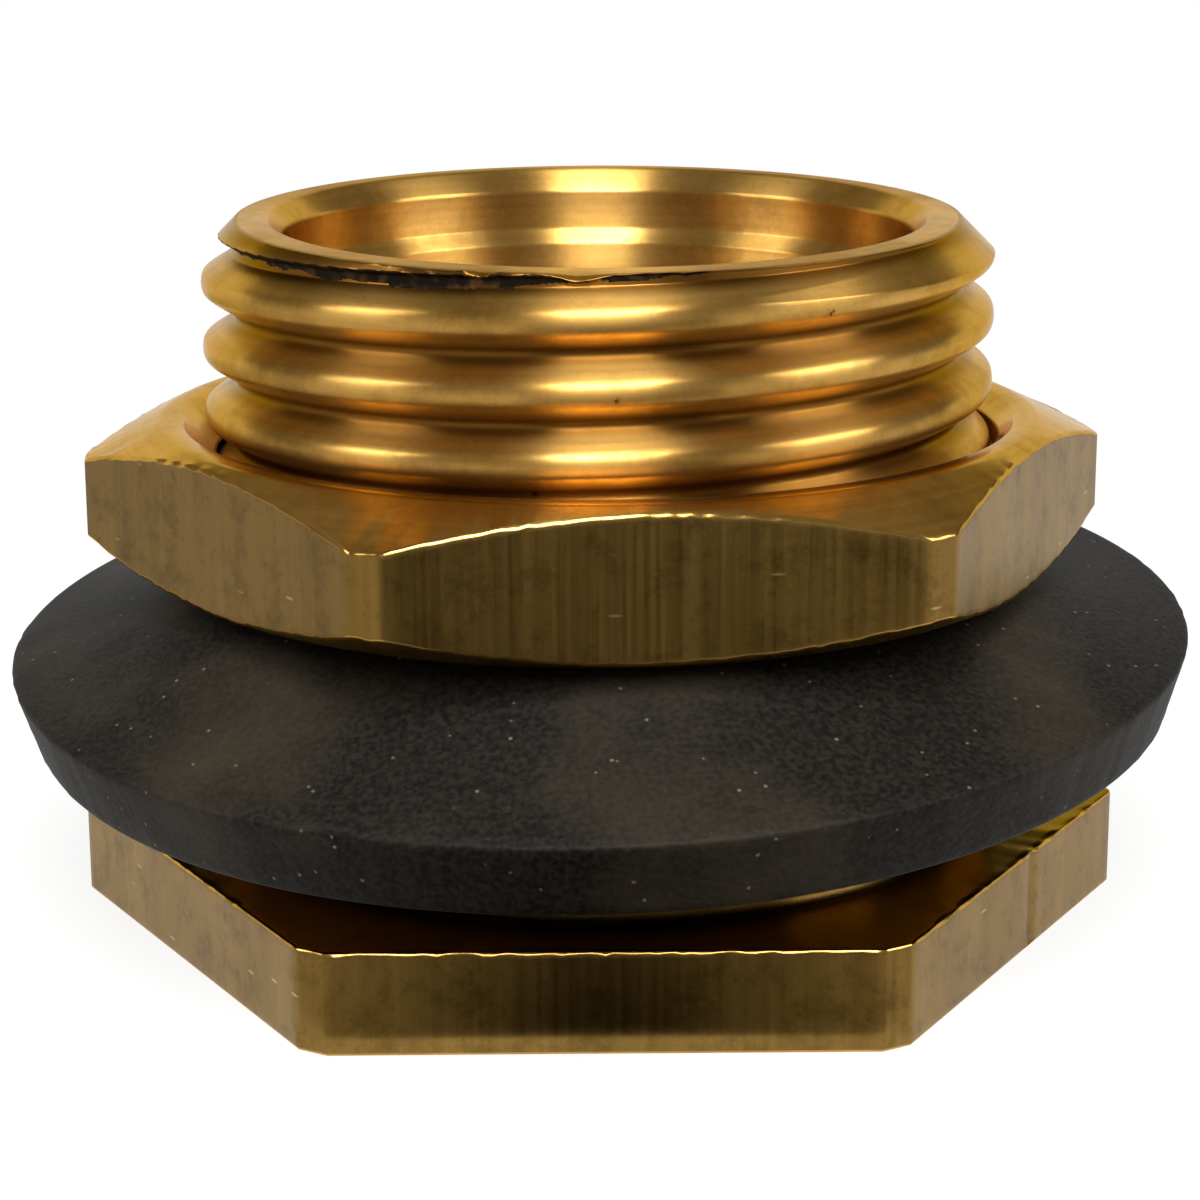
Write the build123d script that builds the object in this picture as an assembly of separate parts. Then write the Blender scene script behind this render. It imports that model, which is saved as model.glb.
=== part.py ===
from build123d import *
import math
import os

# A drain fitting for a cooler pan: a brass body with a hose thread, a rubber sealing washer and a lock nut.
# Millimetres, +Z up. Z is the fitting's axis, and the underside of the hex flange it stands on is Z = 0.

# Hose thread, right hand, on the body and in the nut
MAJOR_DIAMETER = 26.99
PITCH = 25.4 / 11.5
THREAD_DEPTH = 1.05
HALF_FLANK_ANGLE = 30.0
ROOT_FLAT = 0.28
# Drop of the topmost whole crest below the mouth, where it passes the -X side
CREST_DROP = 2.3

# Drain body, turned from hex bar
BODY_HEIGHT = 24.2
FLANGE_THICKNESS = 3.4
FLANGE_LIP = 2.5
FLANGE_CORNER_CUT = 0.65
NECK_HEIGHT = 2.3
NECK_RELIEF = 0.06
NECK_CHAMFER = 0.35
LEAD_CHAMFER = 1.4

# Bore of the body: a clear way with a stepped, chamfered mouth
BODY_WALL = 2.25
MOUTH_STEP = 0.5
MOUTH_DEPTH = 2.2
MOUTH_CHAMFER = 0.75
STEP_CONE = 0.45
FOOT_CHAMFER = 0.5

# Sealing washer, cut from rubber sheet, level at its bore under the nut and drooping askew to its rim
WASHER_CLEARANCE = 0.4
WASHER_THICKNESS = 2.6
WASHER_WIDTH = 6.5
RIM_DROP = 2.3
RIM_SLOPE = 16.5
RIM_TILT = 4.4
RIM_HIGH_SIDE = 67.0
# Air between the flange and the lowest edge of the washer, where the wall of the pan goes
PAN_GAP = 2.35

# Lock nut, turned and tapped from hex bar
NUT_GAP = 0.1
NUT_HEIGHT = 5.1
NUT_LIP = 2.0
NUT_CORNER_CUT = 0.65
NUT_FACE_INSET = 0.5
NUT_CHAMFER_ANGLE = 30.0
NUT_YAW = 6.0
COUNTERSINK = 0.6
# Clearances of the nut's thread at the body's crests, roots and flanks
CREST_CLEARANCE = 0.2
ROOT_CLEARANCE = 0.35
FLANK_CLEARANCE = 0.18

# Length by which a cutter runs past the face that it makes
OVERRUN = 0.5

flank = math.tan(math.radians(HALF_FLANK_ANGLE))
major_radius = MAJOR_DIAMETER / 2
root_radius = major_radius - THREAD_DEPTH
# Depth to which a ridge is sunk in the metal that carries it
ridge_sink = ROOT_FLAT / 4 / flank
# Length of bar that is threaded past each end and then cut off
waste = 2 * PITCH

neck_top = FLANGE_THICKNESS + NECK_HEIGHT
top_crest = BODY_HEIGHT - CREST_DROP - PITCH / 2
whole_turns = math.ceil((top_crest - neck_top + PITCH / 2) / PITCH)
# The crest's helix starts over +X, inside the neck
crest_start = top_crest - whole_turns * PITCH


def section(*corners):
    """A flat face over +X from (radius, height) corners."""
    return make_face(Polyline(*[(r, 0, z) for r, z in corners], close=True))


def turned(*corners):
    """A solid turned about Z from (radius, height) corners, with its seam on the -X side."""
    return Rot(0, 0, 180) * revolve(section(*corners), Axis.Z)


def hex_bar(across_flats, corner_cut, bottom, top):
    """A length of hex bar with a corner over +X and its corners turned off by corner_cut."""
    corner_radius = across_flats / 2 / math.cos(math.radians(30))
    prism = extrude(Pos(0, 0, bottom) * RegularPolygon(corner_radius, 6), top - bottom)
    turned_radius = corner_radius - corner_cut
    return prism & turned((0, bottom), (turned_radius, bottom), (turned_radius, top), (0, top))


def thread_ridge(foot_radius, foot_width, tip_radius, tip_width, start, end):
    """A ridge of the hose thread that climbs right-handed from a start height over +X to an end height."""
    profile = section(
        (foot_radius, start - foot_width / 2),
        (tip_radius, start - tip_width / 2),
        (tip_radius, start + tip_width / 2),
        (foot_radius, start + foot_width / 2),
    )
    path = Pos(0, 0, start) * Helix(PITCH, end - start, tip_radius)
    return sweep(profile, path=path, is_frenet=True)


def make_drain_body():
    """Hex flange, plain neck, threaded shank and stepped bore, all one piece of brass."""
    neck_radius = major_radius + NECK_RELIEF
    flange = hex_bar(MAJOR_DIAMETER + 2 * FLANGE_LIP, FLANGE_CORNER_CUT, 0, FLANGE_THICKNESS)
    neck = turned(
        (0, 0),
        (neck_radius + NECK_CHAMFER, 0),
        (neck_radius + NECK_CHAMFER, FLANGE_THICKNESS),
        (neck_radius, FLANGE_THICKNESS + NECK_CHAMFER),
        (neck_radius, neck_top),
        (0, neck_top),
    )

    bar_end = BODY_HEIGHT + 2 * waste
    core = turned((0, 0), (root_radius, 0), (root_radius, bar_end), (0, bar_end))
    crest_width = PITCH - ROOT_FLAT - 2 * THREAD_DEPTH * flank
    foot_radius = root_radius - ridge_sink
    foot_width = crest_width + 2 * (THREAD_DEPTH + ridge_sink) * flank
    ridge_end = BODY_HEIGHT + waste / 2
    ridge = thread_ridge(foot_radius, foot_width, major_radius, crest_width, crest_start, ridge_end)

    past_side = major_radius + OVERRUN
    past_top = BODY_HEIGHT + 3 * waste
    mouth_cut = turned(
        (0, BODY_HEIGHT),
        (major_radius - LEAD_CHAMFER, BODY_HEIGHT),
        (past_side, BODY_HEIGHT - LEAD_CHAMFER - OVERRUN),
        (past_side, past_top),
        (0, past_top),
    )
    bore_radius = root_radius - BODY_WALL
    mouth_radius = bore_radius + MOUTH_STEP
    bore = turned(
        (0, -OVERRUN),
        (bore_radius + FOOT_CHAMFER + OVERRUN, -OVERRUN),
        (bore_radius, FOOT_CHAMFER),
        (bore_radius, BODY_HEIGHT - MOUTH_DEPTH - STEP_CONE),
        (mouth_radius, BODY_HEIGHT - MOUTH_DEPTH),
        (mouth_radius, BODY_HEIGHT - MOUTH_CHAMFER),
        (mouth_radius + MOUTH_CHAMFER + OVERRUN, BODY_HEIGHT + OVERRUN),
        (0, BODY_HEIGHT + OVERRUN),
    )
    return flange + neck + (core + ridge) - mouth_cut - bore


def make_sealing_washer():
    """The bent rubber ring, ruled between its four round edges, and the height of the nut's seat on it."""
    slope = math.radians(RIM_SLOPE)
    tilt = math.radians(RIM_TILT)
    bore_radius = major_radius + WASHER_CLEARANCE
    rim_radius = bore_radius + WASHER_WIDTH
    lower_rim_radius = rim_radius - WASHER_THICKNESS * math.sin(slope)
    rim_depth = WASHER_THICKNESS * math.cos(slope)
    rim_middle = FLANGE_THICKNESS + PAN_GAP + lower_rim_radius * math.sin(tilt) + rim_depth * math.cos(tilt)
    seat_height = rim_middle + RIM_DROP
    bore_depth = WASHER_THICKNESS * math.hypot(WASHER_WIDTH, RIM_DROP) / WASHER_WIDTH

    facing = Rot(0, 0, RIM_HIGH_SIDE - 90)
    rim_place = Pos(0, 0, rim_middle) * facing * Rot(RIM_TILT, 0, 0)
    edges = [
        Pos(0, 0, seat_height) * facing * Edge.make_circle(bore_radius),
        rim_place * Edge.make_circle(rim_radius),
        rim_place * Pos(0, 0, -rim_depth) * Edge.make_circle(lower_rim_radius),
        Pos(0, 0, seat_height - bore_depth) * facing * Edge.make_circle(bore_radius),
    ]
    next_edges = edges[1:] + edges[:1]
    faces = [Face.make_surface_from_curves(edge, beside) for edge, beside in zip(edges, next_edges)]
    return Solid(Shell(faces)), seat_height


def make_lock_nut(bottom):
    """The chamfered hex nut with its underside at a height, in mesh with the body's thread."""
    top = bottom + NUT_HEIGHT
    across_flats = MAJOR_DIAMETER + 2 * NUT_LIP
    bore_radius = major_radius + CREST_CLEARANCE
    bar = Rot(0, 0, NUT_YAW) * hex_bar(across_flats, NUT_CORNER_CUT, bottom - waste, top + waste)
    drill_start = bottom - 2 * waste
    drill_end = top + 2 * waste
    bar -= turned((0, drill_start), (bore_radius, drill_start), (bore_radius, drill_end), (0, drill_end))

    tip_radius = root_radius + ROOT_CLEARANCE
    flank_gap = FLANK_CLEARANCE / math.cos(math.radians(HALF_FLANK_ANGLE))
    tip_width = ROOT_FLAT + 2 * ROOT_CLEARANCE * flank - 2 * flank_gap
    foot_radius = bore_radius + ridge_sink
    foot_width = tip_width + 2 * (foot_radius - tip_radius) * flank
    groove_start = crest_start + PITCH / 2
    turns_below = math.ceil((bottom - waste / 4 - groove_start) / PITCH) - 1
    ridge_start = groove_start + turns_below * PITCH
    ridge = thread_ridge(foot_radius, foot_width, tip_radius, tip_width, ridge_start, top + waste / 2)

    face_radius = across_flats / 2 - NUT_FACE_INSET
    sink_radius = bore_radius + COUNTERSINK
    past_side = across_flats
    chamfer_depth = (past_side - face_radius) * math.tan(math.radians(NUT_CHAMFER_ANGLE))
    nut = bar + ridge
    for face, outwards in ((bottom, -1), (top, 1)):
        nut -= turned(
            (0, face - outwards * sink_radius),
            (sink_radius, face),
            (face_radius, face),
            (past_side, face - outwards * chamfer_depth),
            (past_side, face + outwards * 2 * waste),
            (0, face + outwards * 2 * waste),
        )
    return nut


washer, washer_seat = make_sealing_washer()
parts = {
    "drain_body": make_drain_body(),
    "sealing_washer": washer,
    "lock_nut": make_lock_nut(washer_seat + NUT_GAP),
}

os.makedirs("parts", exist_ok=True)
for name, part in parts.items():
    part.label = name
    export_step(part, f"parts/{name}.step")
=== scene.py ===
import math

import bpy
import numpy as np
from mathutils import Matrix, Vector


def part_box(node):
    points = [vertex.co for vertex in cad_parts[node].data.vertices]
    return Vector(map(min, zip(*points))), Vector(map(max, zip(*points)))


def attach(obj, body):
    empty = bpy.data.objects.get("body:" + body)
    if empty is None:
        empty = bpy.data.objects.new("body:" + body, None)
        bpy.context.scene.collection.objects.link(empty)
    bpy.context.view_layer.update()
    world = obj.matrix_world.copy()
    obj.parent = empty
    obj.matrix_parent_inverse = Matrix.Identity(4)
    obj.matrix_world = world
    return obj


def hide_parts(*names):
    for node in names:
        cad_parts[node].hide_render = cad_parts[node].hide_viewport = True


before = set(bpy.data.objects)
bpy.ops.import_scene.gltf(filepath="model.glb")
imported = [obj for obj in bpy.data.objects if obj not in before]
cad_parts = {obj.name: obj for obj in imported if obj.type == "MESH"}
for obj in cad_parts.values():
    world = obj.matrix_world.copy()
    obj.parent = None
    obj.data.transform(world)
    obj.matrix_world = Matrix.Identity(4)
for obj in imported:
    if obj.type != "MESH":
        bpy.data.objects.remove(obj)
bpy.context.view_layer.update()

# Drain body: one brass turning made from drawn hex bar. The flange keeps the skin of the bar on its flats.
# The neck, the die-cut hose thread, the mouth and the bore are turned. The tool left a torn lip at the mouth.

MM = 0.001

body_high = Vector(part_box("drain_body")[1]) / MM
BODY_TOP = body_high.z
FLANGE_APOTHEM = body_high.y
FLANGE_TOP = 3.4
FLANGE_EDGE = 0.10
FLANGE_BURR = 0.05
# How far the corners of the hex bar are turned off, on the flange and on the nut
CORNER_CUT = 0.3
# One deep line that the die drew along a flat of the bar, at the right of the front
DEEP_LINE_DEPTH = 0.16
DEEP_LINE_ANGLE = 334.4
DEEP_LINE_SPREAD = 0.6
NECK_RADIUS = 13.555
NECK_FILLET = 0.4
NECK_TOP = 5.7
# Width by which the turned edges are broken
EDGE_BREAK = 0.03

THREAD_MAJOR = 13.495
THREAD_ROOT = 12.445
THREAD_PITCH = 25.4 / 11.5
CREST_FLAT = 0.716
# Width over which the edges of the crests are rounded off
CREST_WEAR = 0.14
FLANK_SLOPE = math.tan(math.radians(60))
# Height of a crest where the thread passes the left side, at 180 degrees
CREST_AT_LEFT = BODY_TOP - 2.3

LAND_OUTER = 12.095
LAND_INNER = 11.445
MOUTH_RADIUS = 10.695
MOUTH_CHAMFER_FOOT = BODY_TOP - 0.75
MOUTH_FOOT = BODY_TOP - 2.2
BORE_RADIUS = 10.195
BORE_TOP = MOUTH_FOOT - 0.45
FOOT_CHAMFER = 0.5
# Where the lead chamfer starts to cut the crests, with a little to spare
LEAD_START = BODY_TOP - 1.45
# The mouth was faced out of square and is lower at the front by this much
FACE_SKEW = 0.42

# The torn lip at the front: its burr, a sharp tear, a shallow scallop and a frayed edge
LIP_BURR = 0.09
BURR_HEIGHT = 0.14
TORN_ANGLE = 262
TORN_SPREAD = 34
LIP_TEAR = 0.16
TEAR_ANGLE = 253.0
TEAR_SPREAD = 1.6
LIP_SCALLOP = 0.22
SCALLOP_ANGLE = 267.0
SCALLOP_SPREAD = 4
LIP_FRAY = 0.04
FRAY_ANGLE = 258
FRAY_SPREAD = 30
UPPER_BURR_SPREAD = 40
# Painted shade in the groove under the lip, widest at the left of the front
LIP_SHADE_WIDTH = 0.5
LIP_SHADE_RAGGED = 0.09
LIP_SHADE_ANGLE = 244
LIP_SHADE_SPREAD = 42


def hex_corner(apothem):
    """Radius of the corners of a hex bar once they are turned off."""
    return apothem / math.cos(math.radians(30)) - CORNER_CUT


def hex_angles(corner_share, per_flat, per_corner):
    """Column angles in degrees round a hex with a corner at 0, and on both edges of each turned corner."""
    half = 30 - math.degrees(math.acos(corner_share))
    columns = []
    for corner in range(0, 360, 60):
        columns.append(np.linspace(corner - half, corner + half, per_corner, endpoint=False))
        columns.append(np.linspace(corner + half, corner + 60 - half, per_flat, endpoint=False))
    return np.concatenate(columns)


def hex_radius(angles, apothem, corner_radius):
    """Radius of a hex bar's outline with its corners turned off."""
    off_flat = np.radians(angles % 60 - 30)
    return np.minimum(apothem / np.cos(off_flat), corner_radius)


def ragged(angles, knots, seed):
    """An uneven edge: random values from -1 to 1 at even knots round the circle, joined smoothly."""
    values = np.random.default_rng(seed).uniform(-1, 1, knots)
    place = angles % 360 / 360 * knots
    before = np.floor(place).astype(int)
    share = place - before
    ease = share * share * (3 - 2 * share)
    return values[before % knots] * (1 - ease) + values[(before + 1) % knots] * ease


def bump_window(angles, centre, spread):
    """One at a centre angle, falling off smoothly to nought over a spread on both sides."""
    off = (angles - centre + 180) % 360 - 180
    return np.exp(-((off / spread) ** 2))


def ring(angles, radius, height):
    """One row of points round the axis."""
    turn = np.radians(angles)
    radius = np.broadcast_to(radius, turn.shape)
    height = np.broadcast_to(height, turn.shape)
    return np.stack([radius * np.cos(turn), radius * np.sin(turn), height], axis=1)


def lattice_piece(name, rows, finishes, materials, onward=None):
    """A closed mesh from rows of points that follow each other round a section.

    finishes has the material of each face between a row and the next, for a whole row or by column.
    onward says for each row which row it runs on into when it has gone once round. That is the row
    itself unless it is a helix. Points in one place become one, and faces with no area are dropped.
    """
    count = len(rows)
    columns = len(rows[0])
    onward = onward or list(range(count))
    points = np.concatenate(rows)
    unique, place = np.unique(np.round(points, 4), axis=0, return_inverse=True)
    place = place.reshape(count, columns)
    faces = []
    face_finish = []
    for row in range(count):
        above = (row + 1) % count
        finish = np.broadcast_to(finishes[row], columns)
        for column in range(columns):
            last = column == columns - 1
            here = onward[row] if last else row
            there = onward[above] if last else above
            beside = 0 if last else column + 1
            corners = [place[row, column], place[here, beside], place[there, beside], place[above, column]]
            corners = list(dict.fromkeys(int(corner) for corner in corners))
            if len(corners) > 2:
                faces.append(corners)
                face_finish.append(int(finish[column]))
    mesh = bpy.data.meshes.new(name)
    mesh.from_pydata(unique * MM, [], faces)
    for material in materials:
        mesh.materials.append(material)
    mesh.polygons.foreach_set("material_index", face_finish)
    mesh.polygons.foreach_set("use_smooth", [True] * len(faces))
    mesh.update()
    piece = bpy.data.objects.new(name, mesh)
    bpy.context.scene.collection.objects.link(piece)
    return piece


def srgb(code):
    """The linear colour of an sRGB hex value."""
    shares = [int(code[at:at + 2], 16) / 255 for at in (1, 3, 5)]
    return [s / 12.92 if s <= 0.04045 else ((s + 0.055) / 1.055) ** 2.4 for s in shares] + [1]


def add(material, kind, inputs=None, **settings):
    """Add a shader node with its settings, and each input's value or the output that it links from.

    A Mix node of colours takes them at its inputs 6 and 7 and gives the result at its output 2.
    """
    node = material.node_tree.nodes.new("ShaderNode" + kind)
    for setting, value in settings.items():
        setattr(node, setting, value)
    for socket, value in (inputs or {}).items():
        if isinstance(value, bpy.types.NodeSocket):
            material.node_tree.links.new(value, node.inputs[socket])
        else:
            node.inputs[socket].default_value = value
    return node


def new_material(name):
    """A material with no nodes yet."""
    material = bpy.data.materials.new(name)
    material.use_nodes = True
    material.node_tree.nodes.clear()
    return material


# Turned brass: free-cutting brass straight from the lathe and the die. It is a warm yellow gold with fine
# rings from the tool, which draw each highlight out across them. It has brown stains and a few dark pits.
# Painted shade darkens the thread's roots and the top of the flange under the washer.
turned_brass = new_material("turned_brass")
GOLD = srgb("#d3a95c")
GOLD_DEEP = srgb("#ae823e")
# Brown of the stains, also used for the painted shade in the thread's roots
STAIN_AND_SHADE_BROWN = srgb("#6b4313")
# Black of the pits, also used for the painted shade on the flange under the washer
PIT_AND_SHADE_BLACK = srgb("#2a1a08")
BRASS_EDGE = srgb("#f3dcae")
# The tool's rings are about 0.05 mm apart, drawn at 0.16 mm so that they show
RING_SPACING = 0.16
RING_DEPTH = 0.02
# Share of a place by which the rings wander, so that they aren't perfect circles
RING_DRIFT = 0.03
STAIN_WIDTH = 3.5
PIT_SPACING = 1.6
# Radii between which the painted shade in the thread's roots thins out, and the one inside which there is
# none
ROOT_SHADE_FULL = 12.5
ROOT_SHADE_NONE = 13.0
NO_SHADE_INSIDE = 12.2
# Heights over the flange between which the painted shade at its foot thins out
FOOT_SHADE_FULL = 0.1
FOOT_SHADE_NONE = 1.0
# Radii between which the thread's rings give way to the broad cut of a form tool
FORM_CUT_START = 13.6
FORM_CUT_FULL = 13.8

place = add(turned_brass, "TexCoord")
in_mm = add(
    turned_brass, "VectorMath", {0: place.outputs["Object"], 1: (1 / MM,) * 3}, operation="MULTIPLY"
)
across = add(turned_brass, "VectorMath", {0: in_mm.outputs[0], 1: (1, 1, 0)}, operation="MULTIPLY")
radius = add(turned_brass, "VectorMath", {0: across.outputs[0]}, operation="LENGTH")
split = add(turned_brass, "SeparateXYZ", {0: in_mm.outputs[0]})
section = add(turned_brass, "CombineXYZ", {"X": radius.outputs["Value"], "Z": split.outputs["Z"]})
slow_drift = add(
    turned_brass, "VectorMath", {0: in_mm.outputs[0], 1: (RING_DRIFT,) * 3}, operation="MULTIPLY"
)
ring_place = add(
    turned_brass, "VectorMath", {0: section.outputs[0], 1: slow_drift.outputs[0]}, operation="ADD"
)
rings = add(
    turned_brass, "TexNoise",
    {"Vector": ring_place.outputs[0], "Scale": 0.5 / RING_SPACING, "Detail": 3.0},
)
stains = add(
    turned_brass, "TexNoise",
    {"Vector": in_mm.outputs[0], "Scale": 1 / STAIN_WIDTH, "Detail": 8.0, "Roughness": 0.78},
)
stain_share = add(
    turned_brass, "MapRange",
    {"Value": stains.outputs["Fac"], "From Min": 0.46, "From Max": 0.72, "To Max": 0.6},
)
# Painted shade in the thread's roots: darker towards the root radius, outside the bore
root_shade_share = add(
    turned_brass, "MapRange",
    {"Value": radius.outputs["Value"], "From Min": ROOT_SHADE_NONE, "From Max": ROOT_SHADE_FULL, "To Max": 0.85},
    interpolation_type="SMOOTHSTEP",
)
outside = add(turned_brass, "Math", {0: radius.outputs["Value"], 1: NO_SHADE_INSIDE}, operation="GREATER_THAN")
root_shade = add(
    turned_brass, "Math", {0: root_shade_share.outputs[0], 1: outside.outputs[0]}, operation="MULTIPLY"
)
# Painted shade on the top of the flange, below the washer, which shades it
foot_shade_share = add(
    turned_brass, "MapRange",
    {
        "Value": split.outputs["Z"],
        "From Min": FLANGE_TOP + FOOT_SHADE_NONE,
        "From Max": FLANGE_TOP + FOOT_SHADE_FULL,
        "To Max": 0.8,
    },
)
on_flange = add(
    turned_brass, "Math", {0: split.outputs["Z"], 1: FLANGE_TOP - EDGE_BREAK}, operation="GREATER_THAN"
)
flange_shade = add(
    turned_brass, "Math", {0: foot_shade_share.outputs[0], 1: on_flange.outputs[0]}, operation="MULTIPLY"
)
foot_shade = add(
    turned_brass, "Math", {0: flange_shade.outputs[0], 1: outside.outputs[0]}, operation="MULTIPLY"
)
gold = add(turned_brass, "Mix", {0: rings.outputs["Fac"], 6: GOLD_DEEP, 7: GOLD}, data_type="RGBA")
stained = add(
    turned_brass, "Mix", {0: stain_share.outputs[0], 6: gold.outputs[2], 7: STAIN_AND_SHADE_BROWN}, data_type="RGBA"
)
root_shaded = add(
    turned_brass, "Mix", {0: root_shade.outputs[0], 6: stained.outputs[2], 7: STAIN_AND_SHADE_BROWN}, data_type="RGBA"
)
pits = add(turned_brass, "TexVoronoi", {"Vector": in_mm.outputs[0], "Scale": 1 / PIT_SPACING})
pit_share = add(
    turned_brass, "MapRange",
    {"Value": pits.outputs["Distance"], "From Min": 0.10, "From Max": 0.05, "To Max": 0.8},
)
few_pits = add(turned_brass, "Math", {0: stains.outputs["Fac"], 1: 0.58}, operation="GREATER_THAN")
pitted = add(turned_brass, "Math", {0: pit_share.outputs[0], 1: few_pits.outputs[0]}, operation="MULTIPLY")
foot_shaded = add(
    turned_brass, "Mix", {0: foot_shade.outputs[0], 6: root_shaded.outputs[2], 7: PIT_AND_SHADE_BLACK}, data_type="RGBA"
)
brass_colour = add(
    turned_brass, "Mix", {0: pitted.outputs[0], 6: foot_shaded.outputs[2], 7: PIT_AND_SHADE_BLACK}, data_type="RGBA"
)
brass_gloss = add(
    turned_brass, "MapRange",
    {"Value": stains.outputs["Fac"], "From Min": 0.3, "From Max": 0.7, "To Min": 0.26, "To Max": 0.36},
)
# Outside the thread, the faces and chamfers were cut by a broad form tool, with hardly any rings
form_cut = add(
    turned_brass, "MapRange",
    {
        "Value": radius.outputs["Value"],
        "From Min": FORM_CUT_START,
        "From Max": FORM_CUT_FULL,
        "To Min": 1.0,
        "To Max": 0.6,
    },
)
gloss = add(turned_brass, "Math", {0: brass_gloss.outputs[0], 1: form_cut.outputs[0]}, operation="MULTIPLY")
ring_relief = add(
    turned_brass, "Bump", {"Height": rings.outputs["Fac"], "Strength": 0.25, "Distance": RING_DEPTH * MM}
)
round_axis = add(turned_brass, "Tangent", direction_type="RADIAL", axis="Z")
brass_shader = add(
    turned_brass, "BsdfPrincipled",
    {
        "Base Color": brass_colour.outputs[2],
        "Metallic": 1.0,
        "Specular Tint": BRASS_EDGE,
        "Roughness": gloss.outputs[0],
        "Anisotropic": 0.9,
        "Anisotropic Rotation": 0.25,
        "Tangent": round_axis.outputs[0],
        "Normal": ring_relief.outputs[0],
    },
)
add(turned_brass, "OutputMaterial", {"Surface": brass_shader.outputs[0]})

# Drawn brass: the skin of the hex bar, pulled through a die and dulled by handling. It is olive and half
# matt, with fine lines along the bar, darker bands and mottling, and small bright scuffs.
drawn_brass = new_material("drawn_brass")
OLIVE = srgb("#9a7b42")
OLIVE_DARK = srgb("#765c2c")
TARNISH = srgb("#453212")
SCUFF = srgb("#d8c08a")
MOTTLE_WIDTH = 1.5
# Die lines are some 0.03 mm apart, drawn at 0.14 mm so that they show
DIE_LINE_SPACING = 0.14
DIE_LINE_LENGTH = 14.0
DIE_LINE_DEPTH = 0.02
SCUFF_SPACING = 1.1
# Bands are drawn out along the bar, and scuffs across it
BAND_STRETCH = (0.6, 0.6, 0.05)
SCUFF_STRETCH = (0.3, 0.3, 1.5)

place = add(drawn_brass, "TexCoord")
in_mm = add(
    drawn_brass, "VectorMath", {0: place.outputs["Object"], 1: (1 / MM,) * 3}, operation="MULTIPLY"
)
line_place = add(
    drawn_brass, "VectorMath",
    {0: in_mm.outputs[0], 1: (0.5 / DIE_LINE_SPACING, 0.5 / DIE_LINE_SPACING, 1 / DIE_LINE_LENGTH)},
    operation="MULTIPLY",
)
lines = add(
    drawn_brass, "TexNoise",
    {"Vector": line_place.outputs[0], "Scale": 1.0, "Detail": 4.0, "Roughness": 0.65},
)
broad_place = add(drawn_brass, "VectorMath", {0: in_mm.outputs[0], 1: BAND_STRETCH}, operation="MULTIPLY")
bands = add(drawn_brass, "TexNoise", {"Vector": broad_place.outputs[0], "Scale": 1.0, "Detail": 2.0})
line_mix = add(drawn_brass, "Math", {0: lines.outputs["Fac"], 1: bands.outputs["Fac"]}, operation="ADD")
line_share = add(
    drawn_brass, "MapRange", {"Value": line_mix.outputs[0], "From Min": 0.55, "From Max": 1.45}
)
lined = add(drawn_brass, "Mix", {0: line_share.outputs[0], 6: OLIVE_DARK, 7: OLIVE}, data_type="RGBA")
scuff_place = add(drawn_brass, "VectorMath", {0: in_mm.outputs[0], 1: SCUFF_STRETCH}, operation="MULTIPLY")
scuffs = add(drawn_brass, "TexVoronoi", {"Vector": scuff_place.outputs[0], "Scale": 1 / SCUFF_SPACING})
scuff_share = add(
    drawn_brass, "MapRange",
    {"Value": scuffs.outputs["Distance"], "From Min": 0.08, "From Max": 0.03, "To Max": 0.6},
)
mottle = add(
    drawn_brass, "TexNoise",
    {"Vector": in_mm.outputs[0], "Scale": 1 / MOTTLE_WIDTH, "Detail": 8.0, "Roughness": 0.8},
)
mottle_share = add(
    drawn_brass, "MapRange",
    {"Value": mottle.outputs["Fac"], "From Min": 0.48, "From Max": 0.72, "To Max": 0.7},
)
mottled = add(
    drawn_brass, "Mix", {0: mottle_share.outputs[0], 6: lined.outputs[2], 7: TARNISH}, data_type="RGBA"
)
drawn_colour = add(
    drawn_brass, "Mix", {0: scuff_share.outputs[0], 6: mottled.outputs[2], 7: SCUFF}, data_type="RGBA"
)
drawn_gloss = add(
    drawn_brass, "MapRange",
    {"Value": lines.outputs["Fac"], "From Min": 0.3, "From Max": 0.7, "To Min": 0.32, "To Max": 0.42},
)
line_relief = add(
    drawn_brass, "Bump", {"Height": lines.outputs["Fac"], "Strength": 0.2, "Distance": DIE_LINE_DEPTH * MM}
)
across_bar = add(drawn_brass, "Tangent", direction_type="RADIAL", axis="Z")
drawn_shader = add(
    drawn_brass, "BsdfPrincipled",
    {
        "Base Color": drawn_colour.outputs[2],
        "Metallic": 1.0,
        "Roughness": drawn_gloss.outputs[0],
        "Anisotropic": 0.6,
        "Tangent": across_bar.outputs[0],
        "Normal": line_relief.outputs[0],
    },
)
add(drawn_brass, "OutputMaterial", {"Surface": drawn_shader.outputs[0]})

# Painted shade: brown-black and dull with a fine grain, painted into the groove under the torn lip, which
# lies in shade.
painted_lip_shade = new_material("painted_lip_shade")
LIP_SHADE_BLACK = srgb("#120b04")
LIP_SHADE_BROWN = srgb("#4a3316")
LIP_SHADE_GRAIN = 0.25

place = add(painted_lip_shade, "TexCoord")
in_mm = add(painted_lip_shade, "VectorMath", {0: place.outputs["Object"], 1: (1 / MM,) * 3}, operation="MULTIPLY")
shade_grain = add(
    painted_lip_shade, "TexNoise", {"Vector": in_mm.outputs[0], "Scale": 0.5 / LIP_SHADE_GRAIN, "Detail": 4.0}
)
shade_grain_share = add(
    painted_lip_shade, "MapRange", {"Value": shade_grain.outputs["Fac"], "From Min": 0.5, "From Max": 0.75}
)
lip_shade_colour = add(
    painted_lip_shade, "Mix", {0: shade_grain_share.outputs[0], 6: LIP_SHADE_BLACK, 7: LIP_SHADE_BROWN}, data_type="RGBA"
)
lip_shade_shader = add(
    painted_lip_shade, "BsdfPrincipled",
    {"Base Color": lip_shade_colour.outputs[2], "Roughness": 0.6, "IOR": 1.5, "Specular IOR Level": 0.08},
)
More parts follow.
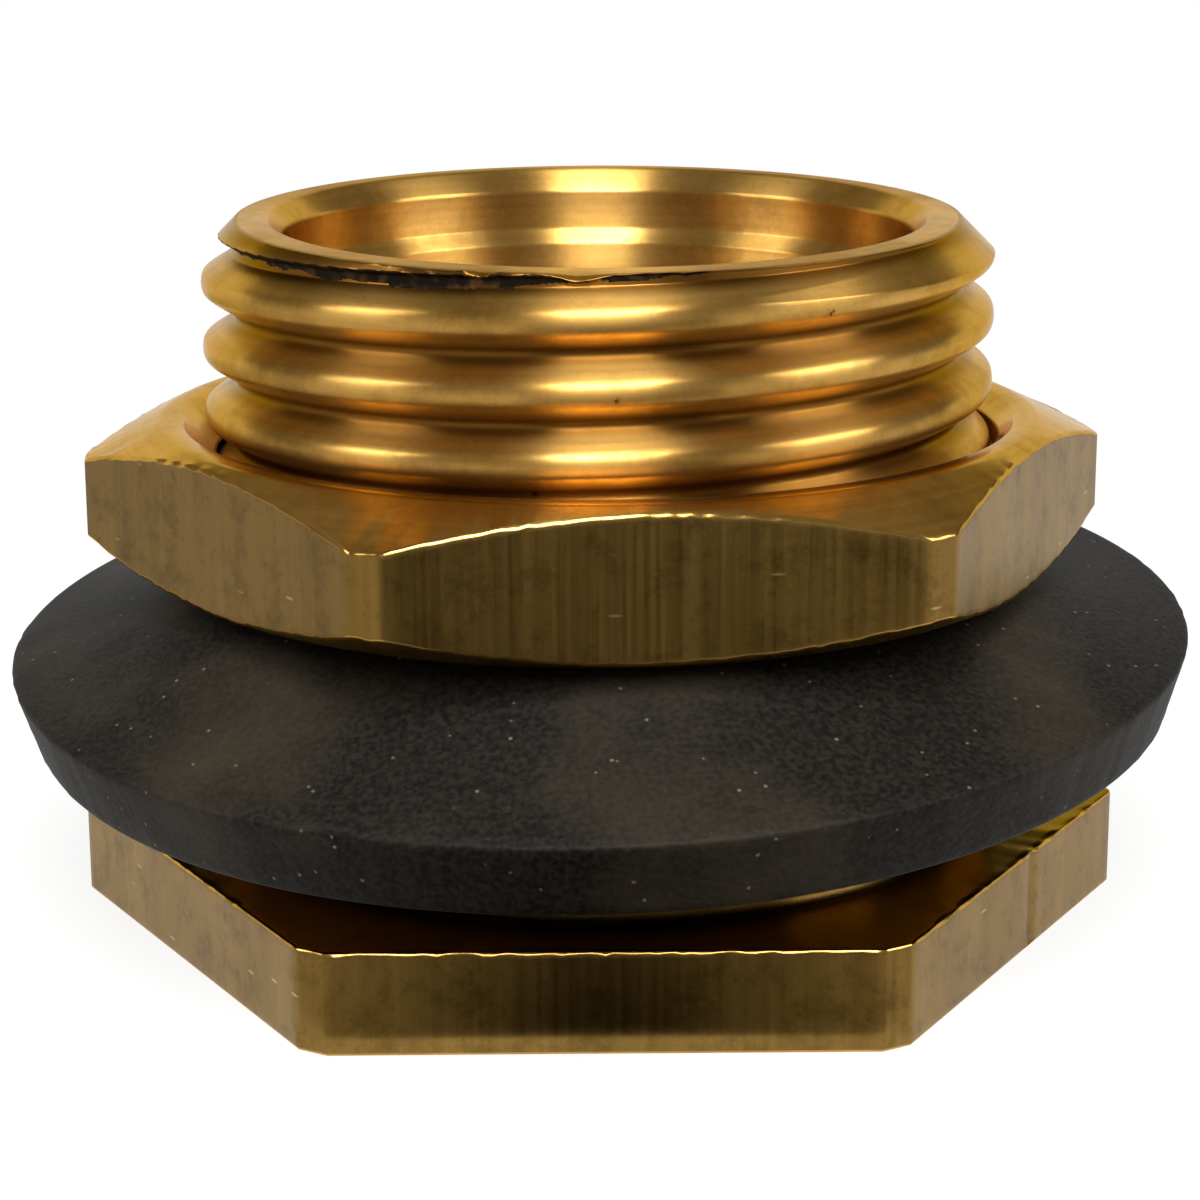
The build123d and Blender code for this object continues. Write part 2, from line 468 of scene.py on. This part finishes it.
add(painted_lip_shade, "OutputMaterial", {"Surface": lip_shade_shader.outputs[0]})

# Places of the finishes in the body's list of materials
TURNED = 0
DRAWN = 1
# The third finish is painted shade, in the groove under the lip
PAINTED_SHADE = 2

flank_half_width = CREST_FLAT / 2 + (THREAD_MAJOR - THREAD_ROOT) / FLANK_SLOPE


def thread_radius(angles, height):
    """Radius of the hose thread at a height: flat crest with worn edges, straight flanks, flat root."""
    turns = (height - CREST_AT_LEFT) / THREAD_PITCH - (angles - 180) / 360
    off_edge = np.abs((turns + 0.5) % 1 - 0.5) * THREAD_PITCH - CREST_FLAT / 2
    below_crest = (off_edge + np.hypot(off_edge, CREST_WEAR)) / 2 * FLANK_SLOPE
    return np.maximum(THREAD_MAJOR - below_crest, THREAD_ROOT)


def root_end(angles):
    """Height at which the root of the last groove ends and its upper flank starts."""
    return CREST_AT_LEFT + THREAD_PITCH * (1 + (angles - 180) / 360) - flank_half_width


def lip_height(angles):
    """Height at which the last groove's upper flank comes out through the lead chamfer."""
    return (BODY_TOP + LAND_OUTER - THREAD_ROOT + FLANK_SLOPE * root_end(angles)) / (1 + FLANK_SLOPE)


def lead_radius(angles, height):
    """Radius of the lead chamfer, with the torn lip that the die left along its edge at the front."""
    torn = bump_window(angles, TORN_ANGLE, TORN_SPREAD) * ragged(angles, 240, 7)
    near_lip = np.exp(-(((height - lip_height(angles)) / BURR_HEIGHT) ** 2))
    return LAND_OUTER + (BODY_TOP - height) + LIP_BURR * torn * near_lip


def shade_under_lip(angles, height):
    """The finish at a height in the lead chamfer: painted shade in the last groove at the front, else turned.
    """
    width = LIP_SHADE_WIDTH * bump_window(angles, LIP_SHADE_ANGLE, LIP_SHADE_SPREAD) + LIP_SHADE_RAGGED * ragged(angles, 170, 8) - 0.1
    in_groove = (height > root_end(angles) - width + 0.08) & (height < lip_height(angles) + 0.02)
    return np.where(in_groove, PAINTED_SHADE, TURNED)


flange_corner = hex_corner(FLANGE_APOTHEM)
body_angles = hex_angles(FLANGE_APOTHEM / flange_corner, 60, 10)
flange = hex_radius(body_angles, FLANGE_APOTHEM, flange_corner)
flats = flange - DEEP_LINE_DEPTH * bump_window(body_angles, DEEP_LINE_ANGLE, DEEP_LINE_SPREAD)
burr = FLANGE_BURR * ragged(body_angles, 300, 3)

rows = []
finishes = []


def body_row(radius, height, finish=TURNED):
    """Add a row to the body, with the finish of the faces from it to the next row."""
    rows.append(ring(body_angles, radius, height))
    finishes.append(finish)


body_row(BORE_RADIUS, FOOT_CHAMFER + 2 * EDGE_BREAK)
body_row(BORE_RADIUS + EDGE_BREAK, FOOT_CHAMFER - EDGE_BREAK)
body_row(BORE_RADIUS + FOOT_CHAMFER - EDGE_BREAK, EDGE_BREAK)
body_row(BORE_RADIUS + FOOT_CHAMFER + 2 * EDGE_BREAK, 0)
body_row(flange - 3 * FLANGE_EDGE, 0)
body_row(flange - FLANGE_EDGE, 0)
body_row(flange - 0.3 * FLANGE_EDGE, 0.3 * FLANGE_EDGE)
body_row(flats, FLANGE_EDGE, DRAWN)
body_row(flats, 3 * FLANGE_EDGE, DRAWN)
body_row(flats, FLANGE_TOP - 2.5 * FLANGE_EDGE, DRAWN)
body_row(flats, FLANGE_TOP - FLANGE_EDGE + burr)
body_row(flange - 0.4 * FLANGE_EDGE + burr / 2, FLANGE_TOP - 0.2 * FLANGE_EDGE + burr)
body_row(flange - FLANGE_EDGE, FLANGE_TOP + burr / 2)
body_row(flange - 3 * FLANGE_EDGE, FLANGE_TOP)
body_row(NECK_RADIUS + 2 * NECK_FILLET, FLANGE_TOP)
for degrees in range(0, 91, 15):
    turn = math.radians(degrees)
    fillet_radius = NECK_RADIUS + NECK_FILLET * (1 - math.sin(turn))
    body_row(fillet_radius, FLANGE_TOP + NECK_FILLET * (1 - math.cos(turn)))
body_row(NECK_RADIUS, NECK_TOP - 0.2)
body_row(NECK_RADIUS, NECK_TOP - 2 * EDGE_BREAK)
body_row(NECK_RADIUS - 2 * EDGE_BREAK, NECK_TOP)

# Each turn of the thread has rows along its crest, close together round the worn edges, its flanks and root
edge_steps = [CREST_FLAT / 2 + share * CREST_WEAR for share in (-1.5, -0.7, -0.2, 0.3, 0.9)]
flank_steps = [(CREST_FLAT / 2 + flank_half_width) / 2, flank_half_width]
half_steps = np.array(edge_steps + flank_steps) / THREAD_PITCH
pitch_steps = np.concatenate([-half_steps[::-1], [0], half_steps, [0.5]])
first_turn = math.floor((NECK_TOP - CREST_AT_LEFT) / THREAD_PITCH) - 2
last_turn = math.ceil((LEAD_START - CREST_AT_LEFT) / THREAD_PITCH) + 2
thread_start = len(rows)
for turn in range(first_turn, last_turn):
    for step in pitch_steps:
        height = CREST_AT_LEFT + THREAD_PITCH * (turn + step + (body_angles - 180) / 360)
        height = np.clip(height, NECK_TOP, LEAD_START)
        body_row(thread_radius(body_angles, height), height)
thread_end = len(rows)

dip = FACE_SKEW * (1 - np.sin(np.radians(body_angles))) / 2
face = BODY_TOP - dip
tear = LIP_TEAR * bump_window(body_angles, TEAR_ANGLE, TEAR_SPREAD)
tear = tear + LIP_SCALLOP * bump_window(body_angles, SCALLOP_ANGLE, SCALLOP_SPREAD)
tear += LIP_FRAY * bump_window(body_angles, FRAY_ANGLE, FRAY_SPREAD) * ragged(body_angles, 180, 9)
# The lead chamfer up to the lip, with painted shade in the groove under the lip at the front
for share in np.linspace(0, 1, 40):
    height = LEAD_START + (face - tear - EDGE_BREAK - LEAD_START) * share
    radius_here = np.minimum(thread_radius(body_angles, height), lead_radius(body_angles, height))
    body_row(radius_here, height, shade_under_lip(body_angles, height))
upper_burr = np.maximum(ragged(body_angles, 330, 10), 0)
lip_burr = LIP_BURR * bump_window(body_angles, FRAY_ANGLE, UPPER_BURR_SPREAD) * upper_burr
body_row(LAND_OUTER + dip + lip_burr, face - tear + lip_burr / 2)
body_row(LAND_OUTER + dip - 0.1, face - 0.8 * tear)
body_row(LAND_OUTER + dip - 0.4, face - 0.2 * tear)
body_row(LAND_INNER - dip + 0.08, face)
body_row(LAND_INNER - dip - EDGE_BREAK, face - EDGE_BREAK)
body_row(LAND_INNER - dip - 0.1, face - 0.1)
body_row(MOUTH_RADIUS + 2 * EDGE_BREAK, MOUTH_CHAMFER_FOOT + 2 * EDGE_BREAK)
body_row(MOUTH_RADIUS, MOUTH_CHAMFER_FOOT - EDGE_BREAK)
body_row(MOUTH_RADIUS, MOUTH_CHAMFER_FOOT - 4 * EDGE_BREAK)
body_row(MOUTH_RADIUS, MOUTH_FOOT + 0.08)
body_row(MOUTH_RADIUS - EDGE_BREAK, MOUTH_FOOT - EDGE_BREAK)
body_row(BORE_RADIUS + EDGE_BREAK, BORE_TOP + EDGE_BREAK)
body_row(BORE_RADIUS, BORE_TOP - 0.08)
body_row(BORE_RADIUS, BODY_TOP / 2)

onward = list(range(len(rows)))
for row in range(thread_start, thread_end):
    onward[row] = min(row + len(pitch_steps), thread_end - 1)

body = lattice_piece("brass_drain_body", rows, finishes, [turned_brass, drawn_brass, painted_lip_shade], onward)
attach(body, "drain_body")
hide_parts("drain_body")

# Sealing washer: a flat ring cut from black rubber sheet and pushed over the thread, which bends it down.
# It lies level under the nut and droops askew to its rim, lowest at the front, with a dusty skin and a rough
# cut.

WASHER_SEAT = (Vector(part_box("sealing_washer")[1]) / MM).z
WASHER_BORE = THREAD_MAJOR + 0.4
WASHER_THICKNESS = 2.6
WASHER_WIDTH = 6.5
WASHER_EDGE = 0.12
# The sheet hangs a little below a straight line from the bore to the rim
WASHER_SAG = 0.12
WASHER_WAVE = 0.05
RIM_DROP = 2.3
RIM_SLOPE = math.radians(16.5)
RIM_TILT = math.radians(4.4)
RIM_HIGH_SIDE = 67.0
ROUGH_CUT = 0.02
RIM_NICK = 0.14
NICK_ANGLE = 246.0
NICK_SPREAD = 2.2

# Black rubber: matt charcoal with a fine grain. Brown dust lies on it in clouds, with a few pale specks.
black_rubber = new_material("black_rubber")
CHARCOAL = srgb("#1c1913")
SOOT = srgb("#060504")
DUST = srgb("#372f23")
SPECK = srgb("#8a806e")
RUBBER_GRAIN = 0.1
GRAIN_DEPTH = 0.05
DUST_WIDTH = 8.0
SPECK_SPACING = 0.9

place = add(black_rubber, "TexCoord")
in_mm = add(
    black_rubber, "VectorMath", {0: place.outputs["Object"], 1: (1 / MM,) * 3}, operation="MULTIPLY"
)
grain = add(
    black_rubber, "TexNoise", {"Vector": in_mm.outputs[0], "Scale": 0.5 / RUBBER_GRAIN, "Detail": 3.0}
)
clouds = add(
    black_rubber, "TexNoise", {"Vector": in_mm.outputs[0], "Scale": 1 / DUST_WIDTH, "Detail": 5.0}
)
dust_share = add(
    black_rubber, "MapRange",
    {"Value": clouds.outputs["Fac"], "From Min": 0.5, "From Max": 0.75, "To Max": 0.6},
)
grain_share = add(
    black_rubber, "MapRange", {"Value": grain.outputs["Fac"], "From Min": 0.36, "From Max": 0.66}
)
rubber_base = add(black_rubber, "Mix", {0: grain_share.outputs[0], 6: SOOT, 7: CHARCOAL}, data_type="RGBA")
dusty = add(
    black_rubber, "Mix", {0: dust_share.outputs[0], 6: rubber_base.outputs[2], 7: DUST}, data_type="RGBA"
)
specks = add(black_rubber, "TexVoronoi", {"Vector": in_mm.outputs[0], "Scale": 1 / SPECK_SPACING})
speck_share = add(
    black_rubber, "MapRange",
    {"Value": specks.outputs["Distance"], "From Min": 0.09, "From Max": 0.03, "To Max": 0.4},
)
rubber_colour = add(
    black_rubber, "Mix", {0: speck_share.outputs[0], 6: dusty.outputs[2], 7: SPECK}, data_type="RGBA"
)
rubber_relief = add(
    black_rubber, "Bump", {"Height": grain.outputs["Fac"], "Strength": 0.4, "Distance": GRAIN_DEPTH * MM}
)
rubber_shader = add(
    black_rubber, "BsdfPrincipled",
    {
        "Base Color": rubber_colour.outputs[2],
        "Roughness": 0.6,
        "IOR": 1.5,
        "Specular IOR Level": 0.12,
        "Normal": rubber_relief.outputs[0],
    },
)
add(black_rubber, "OutputMaterial", {"Surface": rubber_shader.outputs[0]})

# The four round edges of the sheet: level at the bore, askew at the rim
washer_angles = np.linspace(0, 360, 480, endpoint=False)
own_angles = washer_angles - RIM_HIGH_SIDE + 90
rim_radius = WASHER_BORE + WASHER_WIDTH
lower_rim_radius = rim_radius - WASHER_THICKNESS * math.sin(RIM_SLOPE)
rim_depth = WASHER_THICKNESS * math.cos(RIM_SLOPE)
bore_depth = WASHER_THICKNESS * math.hypot(WASHER_WIDTH, RIM_DROP) / WASHER_WIDTH
rim_middle = np.array([0, 0, WASHER_SEAT - RIM_DROP])
facing = Matrix.Rotation(math.radians(RIM_HIGH_SIDE - 90), 3, "Z")
askew = np.array(facing @ Matrix.Rotation(RIM_TILT, 3, "X"))
seat_edge = ring(washer_angles, WASHER_BORE, WASHER_SEAT)
lower_seat_edge = ring(washer_angles, WASHER_BORE, WASHER_SEAT - bore_depth)
rim_edge = ring(own_angles, rim_radius, 0) @ askew.T + rim_middle
lower_rim_edge = ring(own_angles, lower_rim_radius, -rim_depth) @ askew.T + rim_middle
wave = WASHER_WAVE * ragged(washer_angles, 9, 11)
rough_cut = ROUGH_CUT * ragged(washer_angles, 220, 12)
nick = RIM_NICK * bump_window(washer_angles, NICK_ANGLE, NICK_SPREAD)


def washer_row(share, depth, grow=0.0):
    """A row at a share of the washer's width from the bore and a depth in the sheet, grown outwards."""
    top = seat_edge + (rim_edge - seat_edge) * share
    bottom = lower_seat_edge + (lower_rim_edge - lower_seat_edge) * share
    depth_share = np.reshape(depth, (-1, 1)) / WASHER_THICKNESS
    lift = wave * share - WASHER_SAG * 4 * share * (1 - share)
    return top + (bottom - top) * depth_share + ring(washer_angles, grow, lift)


edge_share = WASHER_EDGE / WASHER_WIDTH
washer_rows = [washer_row(share, 0) for share in np.linspace(edge_share, 1 - edge_share, 24)]
washer_rows += [
    washer_row(1 - 0.3 * edge_share, 0.3 * WASHER_EDGE + nick, rough_cut - nick),
    washer_row(1, WASHER_EDGE + nick, rough_cut - nick),
]
washer_rows += [
    washer_row(1, depth, rough_cut + ROUGH_CUT / 2 * ragged(washer_angles, 160, seed))
    for seed, depth in enumerate(np.linspace(3 * WASHER_EDGE, WASHER_THICKNESS - 3 * WASHER_EDGE, 8))
]
washer_rows += [
    washer_row(1, WASHER_THICKNESS - WASHER_EDGE, rough_cut),
    washer_row(1 - 0.3 * edge_share, WASHER_THICKNESS - 0.3 * WASHER_EDGE),
]
lower_shares = np.linspace(1 - edge_share, edge_share, 12)
washer_rows += [washer_row(share, WASHER_THICKNESS) for share in lower_shares]
washer_rows += [
    washer_row(0, WASHER_THICKNESS - WASHER_EDGE),
    washer_row(0, WASHER_EDGE),
]
washer = lattice_piece("rubber_sealing_washer", washer_rows, [0] * len(washer_rows), [black_rubber])
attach(washer, "sealing_washer")
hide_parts("sealing_washer")

# Lock nut: sawn from drawn hex bar, chamfered and faced on both sides and tapped with the same hose thread.
# Its flats keep the skin of the bar. The chamfers cut them to arcs with a fine bright burr along the edge.

nut_low, nut_high = [Vector(corner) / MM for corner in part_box("lock_nut")]
NUT_BOTTOM = nut_low.z
NUT_TOP = nut_high.z
NUT_APOTHEM = 15.495
NUT_YAW = 6.0
NUT_FACE = 14.995
NUT_BORE = 13.695
NUT_THREAD_TIP = 12.795
NUT_TIP_HALF_WIDTH = 0.134
NUT_SINK = 0.6
NUT_CHAMFER_SLOPE = math.tan(math.radians(25))
NUT_EDGE = 0.07
NUT_BURR = 0.035
# Widths of the broken edge round each face and of the strip beside it that holds its shading
FACE_BREAK = 0.02
FACE_STRIP = 0.12

nut_corner = hex_corner(NUT_APOTHEM)
own_nut_angles = hex_angles(NUT_APOTHEM / nut_corner, 60, 10)
nut_angles = own_nut_angles + NUT_YAW
nut_outline = hex_radius(own_nut_angles, NUT_APOTHEM, nut_corner)
chamfer_rise = (nut_outline - NUT_FACE) * NUT_CHAMFER_SLOPE
lower_edge = NUT_BOTTOM + chamfer_rise
upper_edge = NUT_TOP - chamfer_rise
lower_nut_burr = NUT_BURR * ragged(own_nut_angles, 280, 21)
upper_nut_burr = NUT_BURR * ragged(own_nut_angles, 280, 22)


def nut_thread_radius(angles, height):
    """Radius of the nut's own thread, whose ridge runs in the middle of the body's groove."""
    turns = (height - CREST_AT_LEFT) / THREAD_PITCH - (angles - 180) / 360 - 0.5
    off_ridge = np.abs((turns + 0.5) % 1 - 0.5) * THREAD_PITCH
    ridge = NUT_THREAD_TIP + np.maximum(off_ridge - NUT_TIP_HALF_WIDTH, 0) * FLANK_SLOPE
    return np.minimum(ridge, NUT_BORE)


nut_rows = []
nut_finishes = []


def nut_row(radius, height, finish=TURNED):
    """Add a row to the nut, with the finish of the faces from it to the next row."""
    nut_rows.append(ring(nut_angles, radius, height))
    nut_finishes.append(finish)


nut_row(NUT_BORE + NUT_SINK + EDGE_BREAK, NUT_BOTTOM)
nut_row(NUT_FACE - 0.1, NUT_BOTTOM)
nut_row(NUT_FACE + FACE_BREAK, NUT_BOTTOM + FACE_BREAK)
nut_row(NUT_FACE + FACE_STRIP, NUT_BOTTOM + FACE_STRIP * NUT_CHAMFER_SLOPE)
nut_row(nut_outline - 2.5 * NUT_EDGE, lower_edge - 2.5 * NUT_EDGE * NUT_CHAMFER_SLOPE)
nut_row(nut_outline - NUT_EDGE, lower_edge - NUT_EDGE * NUT_CHAMFER_SLOPE + lower_nut_burr)
nut_row(nut_outline - 0.2 * NUT_EDGE, lower_edge + 0.4 * NUT_EDGE + lower_nut_burr)
nut_row(nut_outline, lower_edge + 1.2 * NUT_EDGE + lower_nut_burr, DRAWN)
nut_row(nut_outline, lower_edge + 3 * NUT_EDGE, DRAWN)
nut_row(nut_outline, upper_edge - 3 * NUT_EDGE, DRAWN)
nut_row(nut_outline, upper_edge - 1.2 * NUT_EDGE + upper_nut_burr)
nut_row(nut_outline - 0.2 * NUT_EDGE, upper_edge - 0.4 * NUT_EDGE + upper_nut_burr)
nut_row(nut_outline - NUT_EDGE, upper_edge + NUT_EDGE * NUT_CHAMFER_SLOPE + upper_nut_burr)
nut_row(nut_outline - 2.5 * NUT_EDGE, upper_edge + 2.5 * NUT_EDGE * NUT_CHAMFER_SLOPE)
nut_row(NUT_FACE + FACE_STRIP, NUT_TOP - FACE_STRIP * NUT_CHAMFER_SLOPE)
nut_row(NUT_FACE + FACE_BREAK, NUT_TOP - FACE_BREAK)
nut_row(NUT_FACE - 0.1, NUT_TOP)
nut_row(NUT_BORE + NUT_SINK + EDGE_BREAK, NUT_TOP)
sink_top = NUT_BORE + NUT_SINK
for height in np.linspace(NUT_TOP - EDGE_BREAK, NUT_BOTTOM + EDGE_BREAK, 64):
    sink = np.maximum(sink_top - (NUT_TOP - height), sink_top - (height - NUT_BOTTOM))
    nut_row(np.maximum(nut_thread_radius(nut_angles, height), sink), height)

nut = lattice_piece("brass_lock_nut", nut_rows, nut_finishes, [turned_brass, drawn_brass])
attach(nut, "lock_nut")
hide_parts("lock_nut")

# Studio: a white paper floor and backdrop, a tall soft box in front and above and weaker ones at the sides.
# Cards lie on the floor outside the picture for the polished metal to mirror, dark in front of the fitting
# and grey beside it.

FLOOR_HALF = 6000
BACKDROP_AWAY = 700
BACKDROP_HEIGHT = 420
PAPER = srgb("#f4f3f0")
DARK_CARD = srgb("#1d1a15")
GREY_CARD = srgb("#aeaca6")
ROOM_GREY = srgb("#86837d")
ROOM_STRENGTH = 1.1
# Share of the paper's look that is plain white to the camera and to mirrors, near the fitting and far
# from it. The rest takes the fitting's shadow.
WHITE_NEAR = 0.85
WHITE_FAR = 1.0
NEAR_END = 45
FAR_START = 130
# Distances from the middle of the near card between which it fades from dark to grey
FADE_START = 2
FADE_END = 13
# The upper cards lie on the lower ones
UPPER_CARD = 0.4
LOWER_CARD = 0.3
BORE_FLOOR = 0.02


def sheet(name, corners, material):
    """A flat sheet of the studio from its corners in mm."""
    mesh = bpy.data.meshes.new(name)
    mesh.from_pydata([Vector(corner) * MM for corner in corners], [], [range(len(corners))])
    mesh.materials.append(material)
    made = bpy.data.objects.new(name, mesh)
    bpy.context.scene.collection.objects.link(made)
    return made


def card(name, corners, height, material):
    """A card that lies at a height over the floor and shows only in mirrors, with its corners in plan."""
    made = sheet(name, [(x, y, height) for x, y in corners], material)
    made.visible_camera = False
    made.visible_shadow = False


# White paper: plain white to the camera, with a soft grey shadow round the fitting.
white_paper = new_material("white_paper")
path = add(white_paper, "LightPath")
seen = add(
    white_paper, "Math",
    {0: path.outputs["Is Camera Ray"], 1: path.outputs["Is Glossy Ray"]}, operation="ADD",
)
seen = add(
    white_paper, "Math", {0: seen.outputs[0], 1: path.outputs["Is Transmission Ray"]}, operation="ADD"
)
spot = add(white_paper, "TexCoord")
away = add(white_paper, "VectorMath", {0: spot.outputs["Object"]}, operation="LENGTH")
white_share = add(
    white_paper, "MapRange",
    {
        "Value": away.outputs["Value"],
        "From Min": NEAR_END * MM,
        "From Max": FAR_START * MM,
        "To Min": WHITE_NEAR,
        "To Max": WHITE_FAR,
    },
)
white = add(
    white_paper, "Math",
    {0: seen.outputs[0], 1: white_share.outputs[0]}, operation="MULTIPLY", use_clamp=True,
)
matt = add(white_paper, "BsdfDiffuse", {"Color": PAPER})
plain_white = add(white_paper, "Emission", {"Strength": 1.0})
paper = add(white_paper, "MixShader", {0: white.outputs[0], 1: matt.outputs[0], 2: plain_white.outputs[0]})
add(white_paper, "OutputMaterial", {"Surface": paper.outputs[0]})

# Shaded paper, dark card and grey card: matt and even, as studio card is.
shaded_paper = new_material("shaded_paper")
shade = add(shaded_paper, "BsdfDiffuse", {"Color": PAPER})
add(shaded_paper, "OutputMaterial", {"Surface": shade.outputs[0]})
dark_card = new_material("dark_card")
dark_skin = add(dark_card, "BsdfDiffuse", {"Color": DARK_CARD})
add(dark_card, "OutputMaterial", {"Surface": dark_skin.outputs[0]})
grey_card = new_material("grey_card")
grey_skin = add(grey_card, "BsdfDiffuse", {"Color": GREY_CARD})
add(grey_card, "OutputMaterial", {"Surface": grey_skin.outputs[0]})

# Fading card: dark along its middle, fading to grey at both sides, for soft edges in the mirror image.
fading_card = new_material("fading_card")
spot = add(fading_card, "TexCoord")
sideways = add(fading_card, "VectorMath", {0: spot.outputs["Object"], 1: (1, 0, 0)}, operation="MULTIPLY")
off_middle = add(fading_card, "VectorMath", {0: sideways.outputs[0]}, operation="LENGTH")
fade = add(
    fading_card, "MapRange",
    {"Value": off_middle.outputs["Value"], "From Min": FADE_START * MM, "From Max": FADE_END * MM},
)
fading = add(fading_card, "Mix", {0: fade.outputs[0], 6: DARK_CARD, 7: GREY_CARD}, data_type="RGBA")
fading_skin = add(fading_card, "BsdfDiffuse", {"Color": fading.outputs[2]})
add(fading_card, "OutputMaterial", {"Surface": fading_skin.outputs[0]})

half = FLOOR_HALF
sheet("floor", [(-half, -half, 0), (half, -half, 0), (half, half, 0), (-half, half, 0)], white_paper)
wide = 2 * BACKDROP_AWAY
sheet(
    "backdrop",
    [
        (-wide, BACKDROP_AWAY, 1),
        (wide, BACKDROP_AWAY, 1),
        (wide, BACKDROP_AWAY, BACKDROP_HEIGHT),
        (-wide, BACKDROP_AWAY, BACKDROP_HEIGHT),
    ],
    white_paper,
)
# The floor inside the bore gets no light of its own
bore_ring = ring(np.arange(0, 360, 10), BORE_RADIUS + FOOT_CHAMFER, 0)
sheet("floor_in_bore", [(x, y, BORE_FLOOR) for x, y, z in bore_ring], shaded_paper)
card("front_card", [(-50, -170), (110, -170), (24, -40), (-15, -40)], UPPER_CARD, dark_card)
card("near_card", [(-14, -40), (14, -40), (14, -16.5), (-14, -16.5)], UPPER_CARD, fading_card)
card("side_card", [(-160, -170), (160, -170), (160, -17), (-160, -17)], LOWER_CARD, grey_card)
card("left_card", [(-160, -17), (-30, -17), (-45, 90), (-160, 90)], LOWER_CARD, grey_card)

world = bpy.data.worlds.new("grey_room")
world.use_nodes = True
world.node_tree.nodes["Background"].inputs["Color"].default_value = ROOM_GREY
world.node_tree.nodes["Background"].inputs["Strength"].default_value = ROOM_STRENGTH
bpy.context.scene.world = world


def soft_box(name, bearing, elevation, distance, width, height, power):
    """A soft box that faces the fitting, with its bearing in degrees to the right of the camera."""
    turn = math.radians(bearing)
    lift = math.radians(elevation)
    away = Vector((math.sin(turn) * math.cos(lift), -math.cos(turn) * math.cos(lift), math.sin(lift)))
    lamp = bpy.data.lights.new(name, "AREA")
    lamp.shape = "RECTANGLE"
    lamp.size = width * MM
    lamp.size_y = height * MM
    lamp.energy = power
    box = bpy.data.objects.new(name, lamp)
    box.location = (away * distance + Vector((0, 0, BODY_TOP / 2))) * MM
    box.rotation_euler = away.to_track_quat("Z", "Y").to_euler()
    bpy.context.scene.collection.objects.link(box)


soft_box("front_box", bearing=0, elevation=50, distance=400, width=170, height=320, power=2.5)
soft_box("right_box", bearing=70, elevation=30, distance=500, width=240, height=240, power=1.25)
soft_box("left_box", bearing=-75, elevation=30, distance=500, width=200, height=240, power=0.85)

# Camera: close in front and a little above, as for a product photo taken by hand. Its place, turn and focal
# length were fitted to the edges of the fitting in the photograph.

CAMERA_PLACE = Vector((-0.974, -105.306, 37.84))
CAMERA_YAW = math.radians(0.727)
CAMERA_PITCH = math.radians(14.576)
CAMERA_ROLL = math.radians(0.146)
# Focal length and optical centre in pixels of a picture of 1200 by 1200
PICTURE = 1200
FOCAL = 3098.6
CENTRE = (609.4, 598.1)
SENSOR = 36.0

forward = Vector((
    math.sin(CAMERA_YAW) * math.cos(CAMERA_PITCH),
    math.cos(CAMERA_YAW) * math.cos(CAMERA_PITCH),
    -math.sin(CAMERA_PITCH),
))
level = Vector((math.cos(CAMERA_YAW), -math.sin(CAMERA_YAW), 0))
down = forward.cross(level)
right = math.cos(CAMERA_ROLL) * level + math.sin(CAMERA_ROLL) * down
up = math.sin(CAMERA_ROLL) * level - math.cos(CAMERA_ROLL) * down
lens = bpy.data.cameras.new("camera")
lens.sensor_width = SENSOR
lens.lens = FOCAL * SENSOR / PICTURE
lens.shift_x = (PICTURE / 2 - CENTRE[0]) / PICTURE
lens.shift_y = (CENTRE[1] - PICTURE / 2) / PICTURE
lens.clip_start = 0.005
camera = bpy.data.objects.new("camera", lens)
turned_to = Matrix((right, up, -forward)).transposed().to_4x4()
camera.matrix_world = Matrix.Translation(CAMERA_PLACE * MM) @ turned_to
bpy.context.scene.collection.objects.link(camera)
bpy.context.scene.camera = camera
bpy.context.scene.view_settings.view_transform = "Standard"
